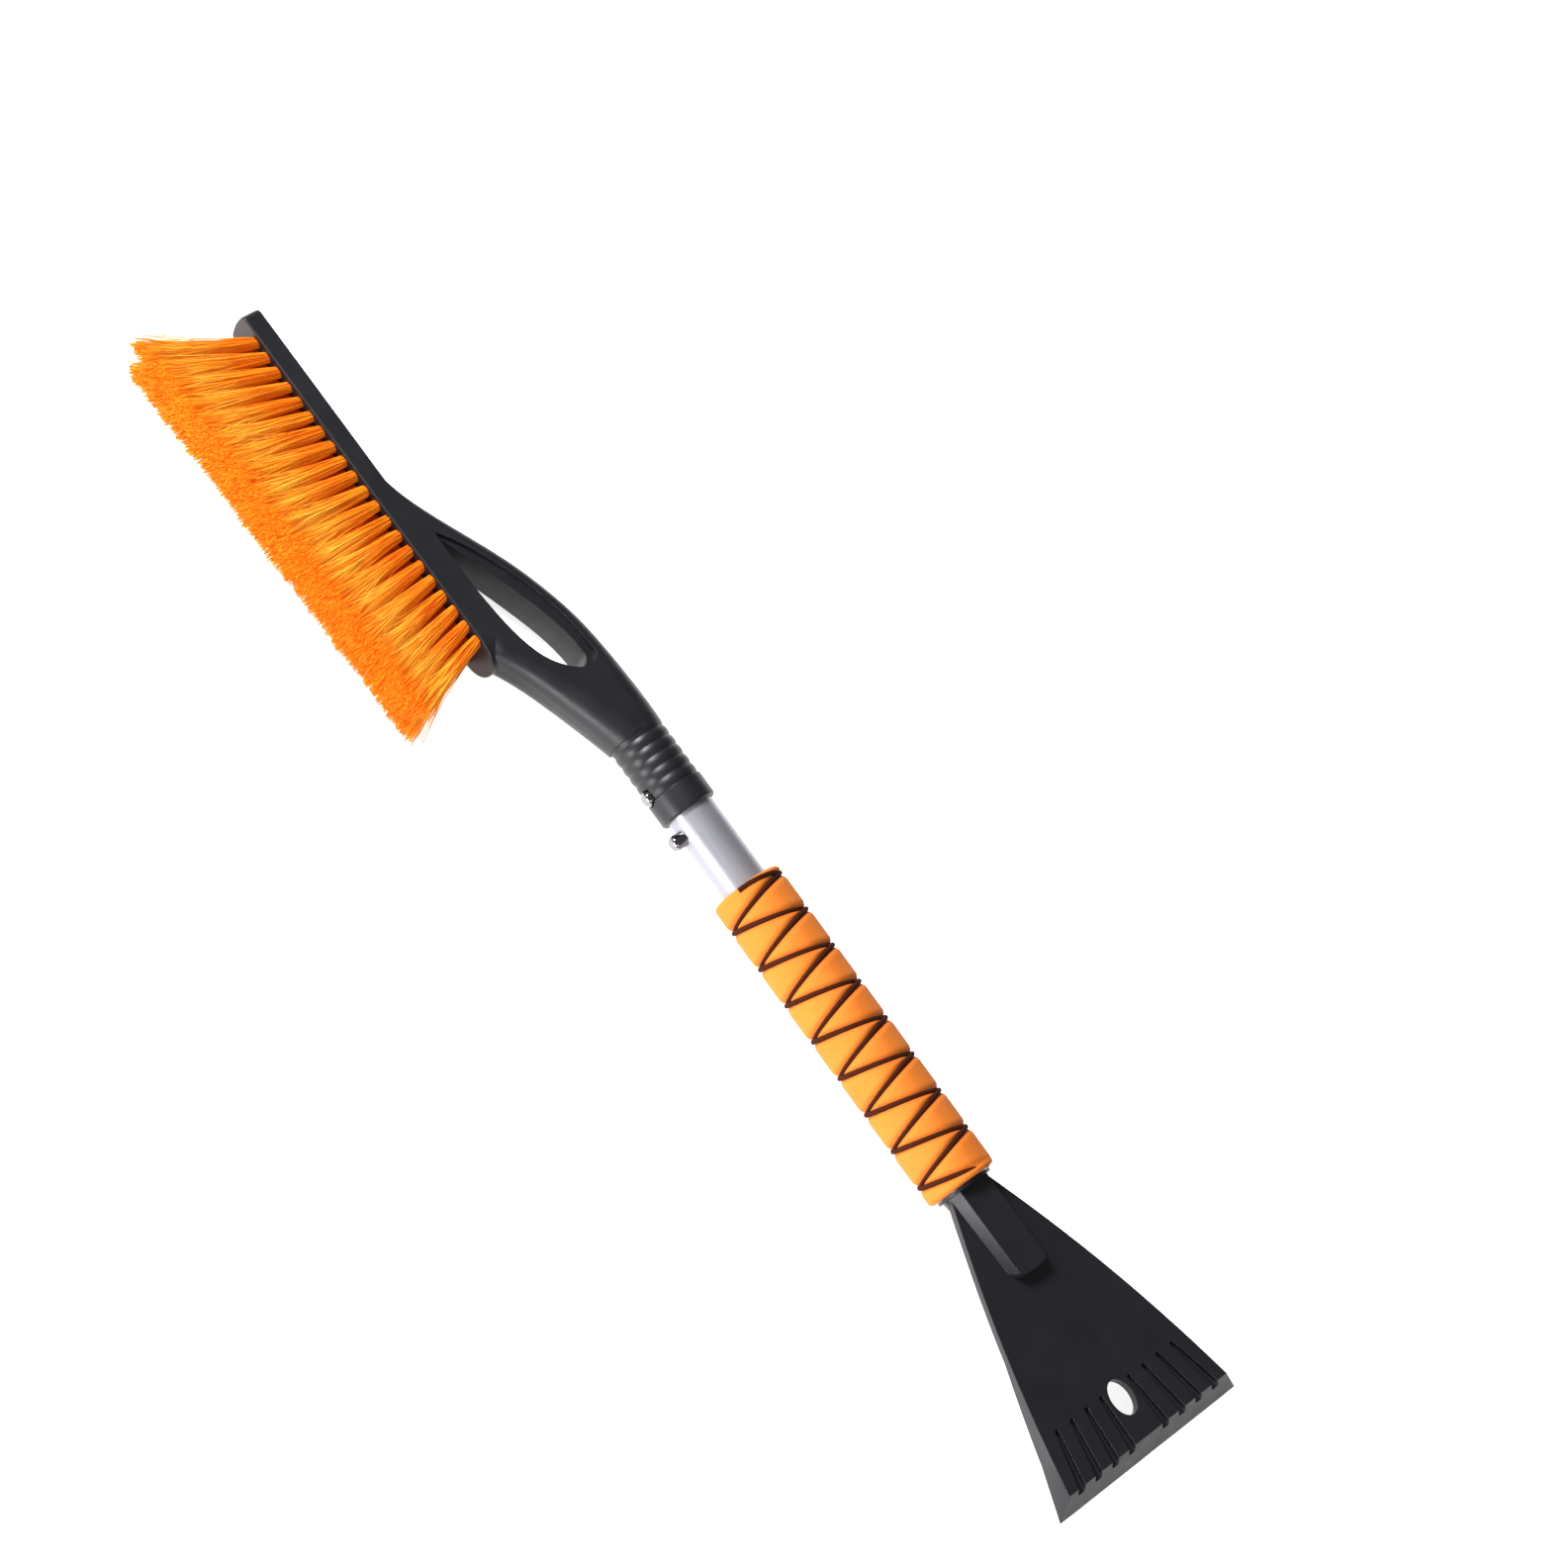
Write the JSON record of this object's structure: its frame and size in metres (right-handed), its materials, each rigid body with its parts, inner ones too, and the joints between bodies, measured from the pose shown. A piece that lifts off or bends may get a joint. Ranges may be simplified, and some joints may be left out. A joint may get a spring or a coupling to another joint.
{
  "type": "snow brush with ice scraper",
  "caption": "Hand tool for clearing a windscreen: a bristle head with a hand hole, a tube handle with a corded foam grip, and a wide ice scraper.",
  "frame": {"origin": "centre of the brush head's collar mouth, on the tube's axis", "axes": "+X along the tube towards the scraper, -Y the way the bristles point, +Z out of the scraper's face"},
  "size_m": [0.6958, 0.1588, 0.0374],
  "materials": {
    "black_plastic": "satin moulded plastic",
    "bristle": "fine filaments",
    "anchor_wire": "plain wire",
    "tube_aluminium": "satin anodised",
    "button_metal": "polished",
    "spring_steel": "plain",
    "foam": "closed-cell foam",
    "cord": "woven cord"
  },
  "bodies": {
    "handle": {"handle_tube": "tube_aluminium", "upper_button_spring": "spring_steel", "lower_button_spring": "spring_steel", "foam_grip": "foam", "right_hand_cord": "cord", "left_hand_cord": "cord", "scraper_head": "black_plastic", "scraper_rivet": "spring_steel"},
    "head": {"brush_head": "black_plastic", "near_tuft_row": "bristle", "middle_tuft_row": "bristle", "far_tuft_row": "bristle", "near_tuft_anchors": "anchor_wire", "middle_tuft_anchors": "anchor_wire", "far_tuft_anchors": "anchor_wire"},
    "upper_button": {"upper_lock_button": "button_metal"},
    "lower_button": {"lower_lock_button": "button_metal"}
  },
  "joints": [
    {"name": "head_slide", "type": "slide", "parent": "handle", "child": "head", "axis": [-1, 0, 0], "range_m": [-0.025, 0.045], "deforming": ["upper_lock_button", "lower_lock_button"]},
    {"name": "upper_button_press", "type": "slide", "parent": "handle", "child": "upper_button", "axis": [0, 1, 0], "range_m": [0, 0.005], "stiffness_N_per_m": 600, "springref_m": -0.004, "deforming": ["upper_button_spring"]},
    {"name": "lower_button_press", "type": "slide", "parent": "handle", "child": "lower_button", "axis": [0, 1, 0], "range_m": [0, 0.0071], "stiffness_N_per_m": 600, "springref_m": -0.004, "deforming": ["lower_button_spring"]}
  ]
}
